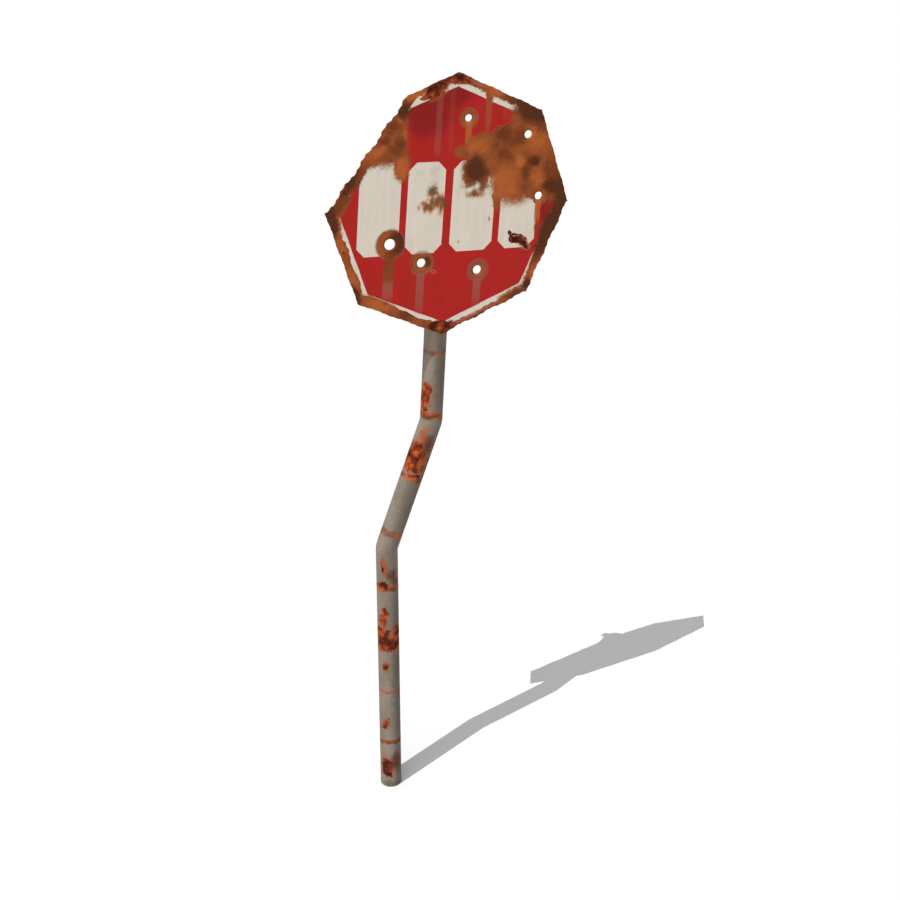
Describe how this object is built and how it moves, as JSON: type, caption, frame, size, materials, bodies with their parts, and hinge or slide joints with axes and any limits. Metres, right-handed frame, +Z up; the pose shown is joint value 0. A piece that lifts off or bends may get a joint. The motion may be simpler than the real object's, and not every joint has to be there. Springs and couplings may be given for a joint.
{
  "type": "stop sign",
  "caption": "Weathered corner-up octagonal stop sign with plain blocks for a legend, rails and hooked clamps, on a kinked steel tube post.",
  "frame": {"origin": "centre of the post's cut foot, where it meets the ground", "axes": "+Z up along the post's upright lower run, -Y the way the sign faces, +X to the right of someone facing the sign"},
  "size_m": [0.8178, 0.1526, 2.5191],
  "materials": {
    "galvanised_post": "weathered galvanised steel with rust patches",
    "galvanised_cap": "weathered galvanised steel",
    "rusted_plate": "heavily rusted sheet steel",
    "white_film": "yellowed white sheeting",
    "red_film": "sun-faded red sheeting",
    "galvanised_rail": "dull galvanised channel",
    "black_cap": "chalked black plastic",
    "plated_strap": "dull zinc plate with rust at the bends",
    "plated_bolt": "zinc plate gone to rust"
  },
  "bodies": {
    "root": {"post": "galvanised_post", "post_cap": "galvanised_cap", "sign_plate": "rusted_plate", "white_sheeting": "white_film", "red_sheeting": "red_film", "upper_rail": "galvanised_rail", "lower_rail": "galvanised_rail", "upper_rail_cap_left": "black_cap", "upper_rail_cap_right": "black_cap", "lower_rail_cap_left": "black_cap", "lower_rail_cap_right": "black_cap", "upper_clamp_left": "plated_strap", "upper_clamp_right": "plated_strap", "lower_clamp_left": "plated_strap", "lower_clamp_right": "plated_strap", "upper_clamp_bolt": "plated_bolt", "upper_clamp_nut": "plated_bolt", "lower_clamp_bolt": "plated_bolt", "lower_clamp_nut": "plated_bolt"}
  },
  "joints": []
}
